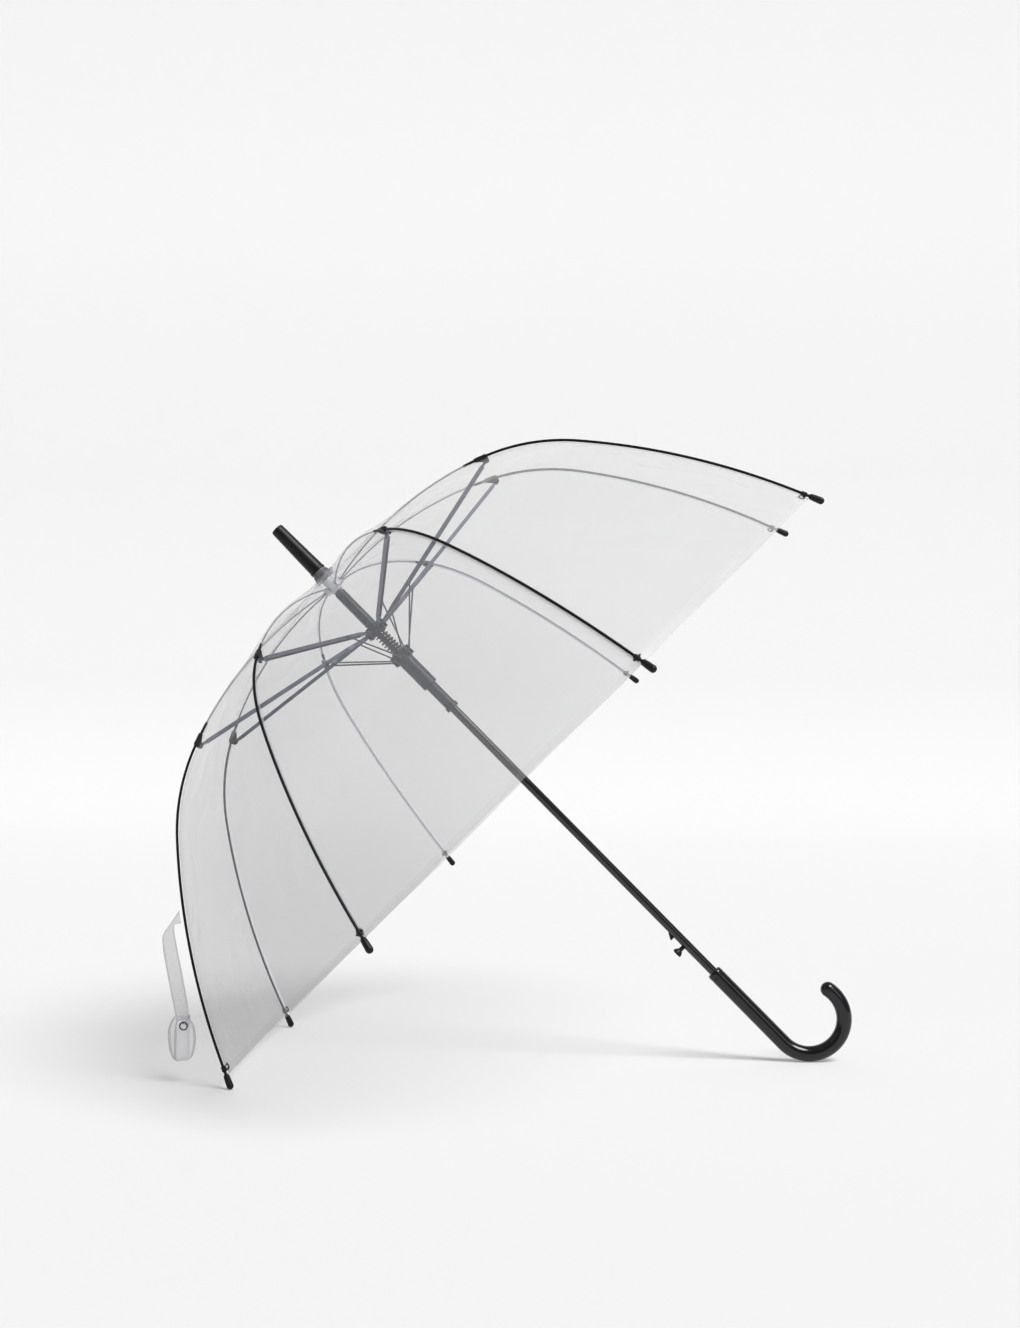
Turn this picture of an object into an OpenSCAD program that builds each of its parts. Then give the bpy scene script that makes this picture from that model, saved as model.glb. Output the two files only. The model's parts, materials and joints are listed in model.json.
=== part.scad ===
// Clear bubble umbrella with a stick frame, an automatic opener and a crook handle.
// It is drawn open, lying on two rib tips and the bend of its handle, with the floor at z = 0.
// Each part is modelled about the umbrella's own axis: +Z runs to the ferrule, z = 0 is the
// crown, and the ribs stand in planes round that axis. At the end lay_down() tips it over.

/* [Canopy frame] */
// Number of degrees between two ribs (eight ribs)
rib_step = 45; // [45:45:45]
// Radius at which ribs and arms are hinged round the shaft
hinge_r = 11.5; // [11:0.1:13]
// Height of the rib hinges in the top notch
notch_z = -7; // [-9:0.5:-5]
// Radius of the elbow, where the arm meets the rib
elbow_r = 241; // [230:1:250]
// Height of the elbow
elbow_z = -37; // [-42:1:-32]
// Slope of the rib at the elbow, in degrees below level
elbow_slope = 23; // [21:0.5:25]
// Radius of the bend in the first stretch below the elbow
bend_near = 240; // [220:5:260]
// Turn of that stretch, in degrees
turn_near = 26.3; // [24:0.1:28]
// Radius of the bend in the last stretch
bend_far = 800; // [700:10:900]
// Turn of that stretch, in degrees
turn_far = 17.6; // [16:0.1:19]
// Diameter of the black lower rib
rib_d = 3; // [2.6:0.1:3.2]
// Diameter of the steel wire of the upper rib
wire_d = 1.8; // [1.6:0.1:2]
// Distance from the rib to the arm's pivot in the connector
pivot_drop = 5; // [4.8:0.1:6]
// Distance along the arm from the hub to the strut's pivot
strut_along = 59.5; // [55:0.5:65]

/* [Film] */
// Distance from the rib's centreline to the inside of the film
film_gap = 3; // [2.9:0.1:4]
// Thickness of the film's solid
film_t = 0.8; // [0.6:0.1:1.2]
// Share of a full circle that a gore bulges between two ribs (0 is flat)
gore_bulge = 0.3; // [0:0.05:1]
// Gap between two gores
gore_gap = 0.6; // [0.4:0.1:1]

/* [Shaft and runners] */
// Diameter of the shaft
shaft_d = 10; // [10:0.1:10.4]
// Radial clearance of what slides on the shaft
slide_gap = 0.06; // [0.03:0.01:0.1]
// Radial clearance of a hinge pin
pin_gap = 0.05; // [0.03:0.01:0.08]
// Height of the strut hinges in the lower runner
runner_z = -119; // [-122:1:-116]
// Diameter of the lower runner's wide sleeve
sleeve_d = 18.6; // [18:0.1:18.8]
// Diameter of the spring over its coils
spring_d = 16; // [15.5:0.1:16.2]
// Diameter of the spring's wire
spring_wire = 1.6; // [1.2:0.1:1.8]
// Number of turns of the spring
spring_turns = 12; // [10:1:13]

/* [Ends of the shaft] */
// Height of the ferrule's tip above the crown
ferrule_tip = 87; // [80:1:95]
// Depth of the top of the handle below the crown
handle_top = 621; // [615:1:630]
// Length of the handle's straight stretch
grip_len = 112; // [105:1:120]
// Diameter of the handle
grip_d = 17.3; // [16.5:0.1:18]
// Radius of the hook's centreline
hook_r = 39.3; // [38:0.1:42]
// Turn of the hook, in degrees
hook_turn = 192; // [180:1:200]
// Depth of the release button
button_z = -578; // [-580:1:-577]
// Travel of the button and the catch
press = 4; // [3:0.5:4]

/* [Hidden] */
$fn = 48;
eps = 0.01;
black = "#1b1b1d";
grey = "#7d818b";
clear = "#dfe3e8";

shaft_r = shaft_d / 2;
slide_r = shaft_r + slide_gap;

// Points in a rib's plane are [radius, height]. A slope s points along [cos(s), -sin(s)].
function ahead(slope) = [cos(slope), -sin(slope)];
function inside(slope) = [-sin(slope), -cos(slope)];
// Centre of the bend that leaves point p at a slope
function bend_centre(p, slope, radius) = p + radius * inside(slope);
function on_bend(centre, radius, slope) = centre - radius * inside(slope);

notch = [hinge_r, notch_z];
elbow = [elbow_r, elbow_z];
// The upper rib is one bend from the notch to the elbow.
upper_chord = norm(elbow - notch);
chord_slope = atan2(notch_z - elbow_z, elbow_r - hinge_r);
notch_slope = 2 * chord_slope - elbow_slope;
bend_upper = upper_chord / (2 * sin((elbow_slope - notch_slope) / 2));
upper_centre = bend_centre(notch, notch_slope, bend_upper);
near_centre = bend_centre(elbow, elbow_slope, bend_near);
mid_slope = elbow_slope + turn_near;
mid_rib = on_bend(near_centre, bend_near, mid_slope);
far_centre = bend_centre(mid_rib, mid_slope, bend_far);
end_slope = mid_slope + turn_far;
rib_end = on_bend(far_centre, bend_far, end_slope);

// The arm's pivot hangs under the elbow. The hub mirrors the notch about it, so the arm is as long
// as the rib from the notch to the pivot, and its inner end stays at one radius while it folds.
pivot = elbow + pivot_drop * inside(elbow_slope);
hub = [hinge_r, 2 * pivot[1] - notch_z];
arm_len = norm(pivot - hub);
arm_rise = atan2(pivot[1] - hub[1], pivot[0] - hub[0]);
strut_drop = 0.6;
strut_top = hub + strut_along * [cos(arm_rise), sin(arm_rise)] + strut_drop * [sin(arm_rise), -cos(arm_rise)];
strut_foot = [hinge_r, runner_z];
strut_len = norm(strut_top - strut_foot);
strut_rise = atan2(strut_top[1] - strut_foot[1], strut_top[0] - strut_foot[0]);
strut_side = 3.7;

// The floor touches the round ends of the two lowest tips and the outside of the hook.
tip_r = 3.75;
tip_len = 25;
tip_ball = rib_end + (tip_len - tip_r) * ahead(end_slope);
low_tip = [-tip_ball[0] * cos(rib_step / 2), tip_ball[1]];
hook_centre = [hook_r, -(handle_top + grip_len)];
hook_outer = hook_r + grip_d / 2;
reach = hook_centre - low_tip;
tilt = atan2(reach[0], -reach[1]) - asin((hook_outer - tip_r) / norm(reach));
// Height of the crown above the floor
crown_up = hook_outer - hook_centre[1] * sin(tilt) - hook_centre[0] * cos(tilt);
// The part is centred between its left side, the film or the strap, and the right side of the hook.
half_gore = rib_step / 2;
function film_at(slope) = lower_rib_at(slope) - (film_gap + film_t) * inside(slope);
film_x = min([for (s = [elbow_slope : end_slope])
    let (p = film_at(s)) -p[0] * gore_share(half_gore) * sin(tilt) - p[1] * cos(tilt)]);
strap_slope = 54.8;
strap_lift = 1.2;
strap_out = 17.4;
strap_root = film_at(strap_slope) - strap_lift * inside(strap_slope);
strap_x = -strap_root[0] * cos(half_gore) * sin(tilt) - strap_root[1] * cos(tilt) - strap_out;
hook_x = hook_centre[0] * sin(tilt) - hook_centre[1] * cos(tilt) + hook_outer;
centre_x = (min(film_x, strap_x) + hook_x) / 2;

function lower_rib_at(slope) = slope < mid_slope ? on_bend(near_centre, bend_near, slope)
    : on_bend(far_centre, bend_far, slope);

// Tips the umbrella over from its own axis to its place on the floor.
module lay_down() {
    translate([-centre_x, 0, crown_up])
        rotate([0, tilt - 90, 0])
            children();
}

module in_rib_plane(k) {
    lay_down() rotate([0, 0, (k - 0.5) * rib_step]) children();
}

// A round rod along a bend of a rib's plane, between two slopes
module bent_rod(centre, radius, from_slope, to_slope, d) {
    translate([centre[0], 0, centre[1]])
        rotate([90, 0, 0])
            rotate([0, 0, 90 - to_slope])
                rotate_extrude(angle = to_slope - from_slope, $fn = 96)
                    translate([radius, 0])
                        circle(d = d, $fn = 24);
}

// A cylinder across a rib's plane, centred on it
module cross_pin(at, r, width) {
    translate([at[0], 0, at[1]])
        rotate([90, 0, 0])
            cylinder(r = r, h = width, center = true);
}

// A round end on a rod: a sleeve that laps it, then a dome
lap = 0.6;
module round_end(r) {
    rotate_extrude()
        polygon(concat([[0, -lap], [r, -lap]], [for (a = [0 : 15 : 90]) [r * cos(a), r * sin(a)]]));
}

module tube(outer_r, inner_r, from_z, to_z) {
    difference() {
        translate([0, 0, from_z]) cylinder(r = outer_r, h = to_z - from_z);
        translate([0, 0, from_z - 1]) cylinder(r = inner_r, h = to_z - from_z + 2);
    }
}

// Cuts that let arms and struts into a round hub at every rib
arm_slot = 3.4;
strut_slot = 2.6;
slot_floor = 9.45;
module hub_slots(from_z, to_z) {
    slot_low = -arm_slot / 2;
    slot_high = strut_side + strut_slot / 2;
    for (k = [0:7])
        rotate([0, 0, (k + 0.5) * rib_step])
            translate([slot_floor, slot_low, from_z - 1])
                cube([10, slot_high - slot_low, to_z - from_z + 2]);
}

// ---- Shaft, ends and handle ----

shaft_wall = 0.8;
ferrule_seat = 60;
handle_seat = 30;
catch_low = -563;
catch_high = -554;
catch_t = 1.6;
stem_r = 2.4;
catch_play = 0.3;
far_wall = 4;

module shaft() {
    color(black) lay_down() difference() {
        tube(shaft_r, shaft_r - shaft_wall, -(handle_top + handle_seat), ferrule_seat);
        translate([-shaft_r, 0, (catch_low + catch_high) / 2])
            cube([2 * shaft_r - far_wall, catch_t + catch_play, catch_high - catch_low + 1], center = true);
        translate([0, 0, button_z])
            rotate([0, -90, 0])
                cylinder(r = stem_r + pin_gap, h = shaft_d);
    }
}

ferrule_base_z = 17.7;
ferrule_base_r = 9.6;
ferrule_top_r = 7.5;
bevel = 1;
module ferrule() {
    color(black) lay_down() difference() {
        union() {
            translate([0, 0, ferrule_base_z])
                cylinder(r1 = ferrule_base_r, r2 = ferrule_top_r, h = ferrule_tip - bevel - ferrule_base_z);
            translate([0, 0, ferrule_tip - bevel])
                cylinder(r1 = ferrule_top_r, r2 = ferrule_top_r - bevel, h = bevel);
        }
        translate([0, 0, ferrule_base_z - 1])
            cylinder(r = shaft_r, h = ferrule_seat - ferrule_base_z + 1);
    }
}

cap_base_z = 6;
cap_rim_h = 1.6;
cap_neck_z = cap_base_z + 9;
cap_rim_r = 12;
cap_cone_r = [11.6, 9.8];
cap_top_r = 9;
lug = [5.4, 4, 5];
lug_from = 8;
module crown_cap() {
    color(grey) lay_down() difference() {
        union() {
            translate([0, 0, cap_base_z]) cylinder(r = cap_rim_r, h = cap_rim_h);
            translate([0, 0, cap_base_z + cap_rim_h])
                cylinder(r1 = cap_cone_r[0], r2 = cap_cone_r[1], h = cap_neck_z - cap_base_z - cap_rim_h);
            translate([0, 0, cap_neck_z]) cylinder(r = cap_top_r, h = ferrule_base_z - cap_neck_z);
            translate([lug_from, -lug[1] / 2, cap_base_z + 1]) cube(lug);
        }
        translate([0, 0, cap_base_z - 1])
            cylinder(r = shaft_r, h = ferrule_base_z - cap_base_z + 2);
    }
}

notch_r = 12.9;
notch_half = 3.5;
notch_slot = 2.4;
notch_slot_floor = 8.9;
notch_sleeve_r = 6.9;
notch_pin_r = 0.6;
notch_sleeve_z = [-14, 4];
window = [4, 3, 3];
window_from = 6;
module top_notch() {
    color("#c9ccd2") lay_down() {
        difference() {
            union() {
                tube(notch_sleeve_r, shaft_r, notch_sleeve_z[0], notch_sleeve_z[1]);
                tube(notch_r, shaft_r, notch_z - notch_half, notch_z + notch_half);
            }
            for (k = [0:7])
                rotate([0, 0, (k + 0.5) * rib_step])
                    translate([notch_slot_floor, -notch_slot / 2, notch_z - notch_half - 1])
                        cube([8, notch_slot, 2 * notch_half + 2]);
            translate([window_from, -window[1] / 2, -1]) cube(window);
        }
        for (k = [0:7])
            rotate([0, 0, (k + 0.5) * rib_step])
                cross_pin(notch, notch_pin_r, notch_slot + 1.8);
    }
}

// The hook is a hair slimmer than the straight stretch and the round end that lap it.
hook_slim = 0.1;
collar_h = 1.2;
module handle() {
    color(black) lay_down() {
        difference() {
            union() {
                translate([0, 0, hook_centre[1] - lap]) cylinder(d = grip_d, h = grip_len - collar_h + lap);
                translate([0, 0, -handle_top - collar_h])
                    cylinder(r1 = grip_d / 2, r2 = grip_d / 2 - collar_h, h = collar_h);
            }
            translate([0, 0, -handle_top - handle_seat])
                cylinder(r = shaft_r, h = handle_seat + 1);
        }
        translate([hook_centre[0], 0, hook_centre[1]])
            rotate([90, 0, 0]) {
                rotate([0, 0, 180])
                    rotate_extrude(angle = hook_turn, $fn = 96)
                        translate([hook_r, 0])
                            circle(d = grip_d - 2 * hook_slim, $fn = 48);
                rotate([0, 0, 180 + hook_turn])
                    translate([hook_r, 0, 0])
                        rotate([-90, 0, 0])
                            round_end(grip_d / 2);
            }
    }
}

// ---- What slides on the shaft ----

hub_r = 13.5;
hub_half = 6;
runner_sleeve_top = -16;
tooth_root_r = 6.1;
tooth_r = 6.6;
tooth_step = 3.4;
tooth_h = 1.6;
module upper_runner() {
    color(grey) lay_down() {
        difference() {
            tube(hub_r, slide_r, hub[1] - hub_half, hub[1] + hub_half);
            hub_slots(hub[1] - hub_half, hub[1] + hub_half);
        }
        tube(tooth_root_r, slide_r, hub[1] + hub_half, runner_sleeve_top);
        for (z = [hub[1] + hub_half + 3 : tooth_step : runner_sleeve_top - 2])
            tube(tooth_r, tooth_root_r - 0.3, z, z + tooth_h);
    }
}

// The spring is a round wire swept along a helix.
spring_top = hub[1] - hub_half - spring_wire / 2;
spring_len = 49;
ring_sides = 6;
steps_a_turn = 14;
function helix_point(turn) = let (r = (spring_d - spring_wire) / 2)
    [r * cos(360 * turn), r * sin(360 * turn), spring_top - spring_len * turn / spring_turns];
function wire_ring(turn) = [for (i = [0 : ring_sides - 1])
    let (a = 360 * i / ring_sides, r = spring_wire / 2)
    helix_point(turn) + [r * cos(a) * cos(360 * turn), r * cos(a) * sin(360 * turn), r * sin(a)]];
module opening_spring() {
    rings = spring_turns * steps_a_turn;
    points = [for (j = [0 : rings]) each wire_ring(j / steps_a_turn)];
    side_faces = [for (j = [0 : rings - 1], i = [0 : ring_sides - 1])
        let (a = j * ring_sides, b = a + ring_sides, n = (i + 1) % ring_sides)
        [a + i, b + i, b + n, a + n]];
    first_cap = [for (i = [0 : ring_sides - 1]) i];
    last_cap = [for (i = [ring_sides - 1 : -1 : 0]) rings * ring_sides + i];
    color("silver") lay_down()
        polyhedron(points, concat([first_cap], side_faces, [last_cap]));
}

sleeve_end = -166;
spring_well = -160;
neck_end = -203;
flange_h = 5;
flange_r = 7.9;
neck_r = 6.6;
spring_play = 0.3;
groove_w = 2.6;
module lower_runner() {
    color(grey) lay_down() difference() {
        union() {
            tube(hub_r, slide_r, runner_z - hub_half, runner_z + hub_half);
            tube(sleeve_d / 2, slide_r, sleeve_end, runner_z + hub_half);
            tube(neck_r, slide_r, neck_end, sleeve_end + 1);
            tube(flange_r, slide_r, neck_end, neck_end + flange_h);
        }
        hub_slots(runner_z - hub_half, runner_z + hub_half);
        translate([0, 0, spring_well]) cylinder(r = spring_d / 2 + spring_play, h = 60);
        // The groove in the neck passes over the catch.
        translate([-12, -groove_w / 2, neck_end - 1]) cube([10, groove_w, 20]);
    }
}

// ---- Catch and button, in the side of the shaft that faces the floor ----

catch_out = 9.2;
module runner_catch() {
    color("#55585f") lay_down()
        translate([0, catch_t / 2, 0])
            rotate([90, 0, 0])
                linear_extrude(catch_t)
                    polygon([[-3, catch_high], [-shaft_r, catch_high], [-catch_out, catch_low + 1.5],
                             [-catch_out, catch_low], [-3, catch_low]]);
}

button_in = 2;
flare_from = 9.5;
face_from = 12.5;
button_out = 14.5;
button_r = 4.3;
module release_button() {
    color(black) lay_down()
        translate([0, 0, button_z])
            rotate([0, -90, 0]) {
                translate([0, 0, button_in]) cylinder(r = stem_r, h = flare_from - button_in);
                translate([0, 0, flare_from]) cylinder(r1 = stem_r, r2 = button_r, h = face_from - flare_from);
                translate([0, 0, face_from]) cylinder(r = button_r, h = button_out - face_from);
            }
}

// ---- One rib and what hangs on it, repeated eight times ----

pin_r = 1;
stub_turn = 3.6;
clamp_turn = 1.6;
clamp_d = 5;
eye_extra = 0.2;
module upper_rib(k) {
    color(grey) in_rib_plane(k) difference() {
        union() {
            bent_rod(upper_centre, bend_upper, notch_slope, elbow_slope - stub_turn, wire_d);
            cross_pin(notch, 1.6, wire_d + eye_extra);
        }
        cross_pin(notch, notch_pin_r + pin_gap, 4);
    }
}

// The connector is a sleeve on the wire, a clamp, and two cheeks with the elbow pin and the arm pin.
cheek_in = 1.7;
cheek_t = 0.9;
cheek_back = 12;
elbow_eye_r = 2.5;
pivot_eye_r = 3;
clamp_end = 0.55;
module cheek() {
    rotate([90, 0, 0])
        linear_extrude(cheek_t) {
            translate(elbow) circle(r = elbow_eye_r);
            translate(pivot) circle(r = pivot_eye_r);
            polygon([elbow + 2.3 * [sin(elbow_slope), cos(elbow_slope)],
                     elbow + elbow_eye_r * ahead(elbow_slope),
                     pivot + pivot_eye_r * ahead(elbow_slope),
                     pivot - pivot_eye_r * ahead(elbow_slope),
                     elbow - cheek_back * ahead(elbow_slope + 0.8) + 2 * inside(elbow_slope),
                     elbow - cheek_back * ahead(elbow_slope - 0.8) - 2 * inside(elbow_slope)]);
        }
}

module connector(k) {
    color(black) in_rib_plane(k) {
        bent_rod(upper_centre, bend_upper, elbow_slope - stub_turn, elbow_slope - clamp_turn, rib_d);
        bent_rod(upper_centre, bend_upper, elbow_slope - clamp_turn, elbow_slope - clamp_end, clamp_d);
        translate([0, -cheek_in, 0]) cheek();
        translate([0, cheek_in + cheek_t, 0]) cheek();
        cross_pin(elbow, pin_r, 2 * cheek_in + eps);
        cross_pin(pivot, pin_r, 2 * cheek_in + eps);
    }
}

bead_r = 2.6;
bead_len = 5.5;
cap_neck_r = 1.6;
barrel_from = 8.5;
barrel_lip = 2.4;
cap_bar_r = 1.3;
cap_bar_len = 9;
// End cap: a bead with a cross bar that holds the film's corner, a neck and a round-ended barrel
module end_cap() {
    rotate_extrude()
        polygon(concat([[0, -lap], [bead_r, -lap], [bead_r, bead_len], [cap_neck_r, bead_len],
                        [cap_neck_r, barrel_from], [barrel_lip, barrel_from], [tip_r, barrel_from + 2]],
                       [for (a = [0 : 15 : 90]) [tip_r * cos(a), tip_len - tip_r + tip_r * sin(a)]]));
    translate([0, 0, bead_len / 2]) rotate([90, 0, 0])
        cylinder(r = cap_bar_r, h = cap_bar_len, center = true);
}

// The far stretch is a hair slimmer than the near one, which laps it.
rib_slim = 0.04;
rib_lap = 0.12;
module lower_rib(k) {
    color(black) in_rib_plane(k) {
        difference() {
            union() {
                bent_rod(near_centre, bend_near, elbow_slope, mid_slope + rib_lap, rib_d);
                bent_rod(far_centre, bend_far, mid_slope, end_slope, rib_d - 2 * rib_slim);
                cross_pin(elbow, 2, rib_d + eye_extra);
            }
            cross_pin(elbow, pin_r + pin_gap, 5);
        }
        translate([rib_end[0], 0, rib_end[1]])
            rotate([0, 90 + end_slope, 0])
                end_cap();
    }
}

arm_w = 5;
arm_wall = 0.8;
arm_top = 1.8;
arm_low = -2.2;
arm_bare = 8;
arm_neck = 2.8;
// The neck is longer at the hub, because both runners pass it as the arm folds.
hub_neck = 21;
arm_flare = 8;
arm_cut = 4;
hub_hole_r = 0.9;
eye_r = 1.85;
strut_pin_r = 0.7;
// An arm lies along +X from its hub end, open underneath.
module arm(k) {
    color(grey) in_rib_plane(k)
        translate([hub[0], 0, hub[1]])
            rotate([0, -arm_rise, 0]) {
                difference() {
                    union() {
                        translate([0, 0, arm_low]) linear_extrude(arm_top - arm_low)
                            polygon([[hub_neck, -arm_neck / 2], [hub_neck + arm_flare, -arm_w / 2],
                                     [arm_len - arm_bare, -arm_w / 2], [arm_len - arm_bare, arm_w / 2],
                                     [hub_neck + arm_flare, arm_w / 2], [hub_neck, arm_neck / 2]]);
                        translate([0, -arm_neck / 2, -arm_neck / 2])
                            cube([hub_neck + 1, arm_neck, arm_neck]);
                        translate([arm_len - arm_bare - 1, -arm_neck / 2, -arm_neck / 2])
                            cube([arm_bare + 1, arm_neck, arm_neck]);
                        for (x = [0, arm_len])
                            cross_pin([x, 0], eye_r, arm_neck);
                    }
                    translate([hub_neck + arm_flare, arm_wall - arm_w / 2, arm_low - 1])
                        cube([arm_len - arm_bare - hub_neck - arm_flare - 1, arm_w - 2 * arm_wall,
                              arm_top - arm_low - arm_wall + 1]);
                    cross_pin([0, 0], hub_hole_r, arm_cut);
                    cross_pin([arm_len, 0], pin_r + pin_gap, arm_cut);
                }
                translate([strut_along, 0, -strut_drop])
                    rotate([-90, 0, 0])
                        cylinder(r = strut_pin_r, h = strut_side + 1.2);
            }
}

strut_d = 1.8;
strut_foot_r = 1.3;
strut_eye_r = 1.5;
module strut(k) {
    color(grey) in_rib_plane(k)
        translate([strut_foot[0], strut_side, strut_foot[1]])
            rotate([0, -strut_rise, 0]) {
                rotate([0, 90, 0]) cylinder(d = strut_d, h = strut_len - strut_eye_r + 0.3);
                cross_pin([0, 0], strut_foot_r, strut_d);
                difference() {
                    cross_pin([strut_len, 0], strut_eye_r, strut_d);
                    cross_pin([strut_len, 0], strut_pin_r + pin_gap, 3);
                }
            }
}

// ---- Film ----

// The film leaves the crown as a cone, and lies on the ribs from where that cone touches them.
crown_film_r = 10.4;
crown_film_z = 4.6;
function film_profile(offset) = let (
        start = [crown_film_r, crown_film_z + offset - film_gap],
        radius = bend_upper + offset,
        from_centre = start - upper_centre,
        touch = acos(radius / norm(from_centre)) - atan2(-from_centre[0], from_centre[1]))
    concat([start],
           [for (s = [touch : (elbow_slope - touch) / 4 : elbow_slope - 1]) on_bend(upper_centre, radius, s)],
           [for (s = [elbow_slope : turn_near / 5 : mid_slope - 1]) on_bend(near_centre, bend_near + offset, s)],
           [for (s = [mid_slope : turn_far / 4 : end_slope + 0.1]) on_bend(far_centre, bend_far + offset, s)]);

gore_columns = 6;
// Radius of the film at an angle from its rib, as a share of its radius at the rib
function gore_share(angle) = gore_bulge + (1 - gore_bulge) * cos(half_gore) / cos(half_gore - abs(angle));
function film_row(p) = let (edge = half_gore - gore_gap / 2 / p[0] * 180 / PI)
    [for (c = [0 : gore_columns])
        let (angle = edge * (2 * c / gore_columns - 1), r = p[0] * gore_share(angle))
        [r * cos(angle), r * sin(angle), p[1]]];
module canopy(k) {
    outer = film_profile(film_gap + film_t);
    inner = film_profile(film_gap);
    rows = len(outer);
    cols = gore_columns + 1;
    side = rows * cols;
    points = concat([for (p = outer) each film_row(p)], [for (p = inner) each film_row(p)]);
    skins = [for (j = [0 : rows - 2], i = [0 : cols - 2])
        let (a = j * cols + i, b = a + cols)
        each [[a, a + 1, b + 1], [a, b + 1, b],
              [side + a, side + b + 1, side + a + 1], [side + a, side + b, side + b + 1]]];
    ends = [for (i = [0 : cols - 2], a = [i]) let (b = (rows - 1) * cols + i)
        each [[a, side + a + 1, a + 1], [a, side + a, side + a + 1],
              [b, b + 1, side + b + 1], [b, side + b + 1, side + b]]];
    edges = [for (j = [0 : rows - 2]) let (a = j * cols, b = a + cols, c = a + cols - 1, d = b + cols - 1)
        each [[a, b, side + b], [a, side + b, side + a],
              [c, side + d, d], [c, side + c, side + d]]];
    color(clear, 0.35) in_rib_plane(k)
        polyhedron(points, concat(skins, ends, edges));
}

// ---- Tie strap, hanging from the fifth rib with its free end folded back and snapped ----

strap_rib = 5;
strap_t = 1.2;
loop_w = 32.2;
loop_x = 4.1;
loop_top = -111;
loop_low = -157.3;
loop_r = 4.2;
half_loop = loop_w / 2;
// The loop's front layer stands this far in front of the band, towards -Y.
loop_y = 0.8 - loop_r;
snap_d = 9.6;
snap_at = [7.3, -119.8];
// Puts its children at the strap's root, with X and Z as in the row.
module at_strap_root() {
    turn = (strap_rib - 0.5) * rib_step;
    x = strap_root[0] * cos(turn);
    y = strap_root[0] * sin(turn);
    translate([-centre_x + x * sin(tilt) - strap_root[1] * cos(tilt), y,
               crown_up + x * cos(tilt) + strap_root[1] * sin(tilt)])
        children();
}

// An outline in the XZ plane, given a thickness along Y
module upright_plate(t) {
    translate([0, t / 2, 0]) rotate([90, 0, 0]) linear_extrude(t) children();
}

// The loop seen from the side: two layers and a round bottom
module loop_side(r, top) {
    translate([loop_y, loop_low + loop_r]) circle(r);
    translate([loop_y - r, loop_low + loop_r]) square([2 * r, top - loop_low - loop_r]);
}

module tie_strap() {
    color(clear, 0.6) at_strap_root() difference() {
        union() {
            upright_plate(strap_t)
                polygon([[0, 0], [-16.3, -23.5], [-strap_out, -32], [-15.2, -49], [-3.6, -106], [-2.4, -114],
                         [11.6, -114], [11.2, -106], [4.1, -66], [-4.5, -12.8], [2, -12.8]]);
            intersection() {
                translate([loop_x - half_loop, 0, 0]) rotate([90, 0, 90]) linear_extrude(loop_w)
                    difference() {
                        loop_side(loop_r, loop_top);
                        loop_side(loop_r - strap_t, loop_top + 1);
                    }
                upright_plate(40) {
                    translate([loop_x, loop_low + half_loop]) circle(r = half_loop - 0.1);
                    translate([loop_x, 0])
                        polygon([[-half_loop, loop_low + half_loop], [half_loop, loop_low + half_loop],
                                 [half_loop - 1, loop_top - 8], [half_loop - 7, loop_top + 1],
                                 [4.5 - half_loop, loop_top + 1], [1 - half_loop, loop_top - 8]]);
                }
            }
        }
        translate([snap_at[0], 0, snap_at[1]]) rotate([90, 0, 0]) cylinder(d = snap_d, h = 30, center = true);
    }
}

module strap_snap() {
    color(black) at_strap_root()
        translate([snap_at[0], loop_y, snap_at[1]])
            rotate([90, 0, 0])
                cylinder(d = snap_d, h = 2 * loop_r + 1.6, center = true);
}

shaft();
ferrule();
crown_cap();
top_notch();
upper_runner();
opening_spring();
lower_runner();
runner_catch();
release_button();
handle();
tie_strap();
strap_snap();
for (k = [1:8]) {
    upper_rib(k);
    connector(k);
    lower_rib(k);
    arm(k);
    strut(k);
    canopy(k);
}
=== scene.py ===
import json
import math

import bmesh
import bpy
import numpy as np
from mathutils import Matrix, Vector


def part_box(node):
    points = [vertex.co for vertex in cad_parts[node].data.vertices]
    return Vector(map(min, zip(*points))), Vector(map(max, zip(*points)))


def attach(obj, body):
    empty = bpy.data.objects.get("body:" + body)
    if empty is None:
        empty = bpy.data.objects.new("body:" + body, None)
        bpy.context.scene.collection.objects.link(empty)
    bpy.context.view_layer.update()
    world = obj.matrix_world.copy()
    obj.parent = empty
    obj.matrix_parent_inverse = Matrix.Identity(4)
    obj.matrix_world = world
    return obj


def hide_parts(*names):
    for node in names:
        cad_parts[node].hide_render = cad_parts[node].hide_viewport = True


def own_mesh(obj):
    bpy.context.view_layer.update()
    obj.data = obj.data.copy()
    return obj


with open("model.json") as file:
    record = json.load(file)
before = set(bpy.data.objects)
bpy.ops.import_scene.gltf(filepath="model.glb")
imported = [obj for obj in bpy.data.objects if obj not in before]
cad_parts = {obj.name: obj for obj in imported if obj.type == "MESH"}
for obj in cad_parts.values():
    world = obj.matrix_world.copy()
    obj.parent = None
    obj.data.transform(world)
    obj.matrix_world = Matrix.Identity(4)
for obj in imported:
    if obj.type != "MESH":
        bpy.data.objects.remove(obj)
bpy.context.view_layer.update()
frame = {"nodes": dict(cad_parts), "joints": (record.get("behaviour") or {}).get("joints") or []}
RIBS = range(1, 9)
STRAP_RIB = 5
NODES = frame["nodes"]
JOINTS = {j["name"]: j for j in frame["joints"]}

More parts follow.
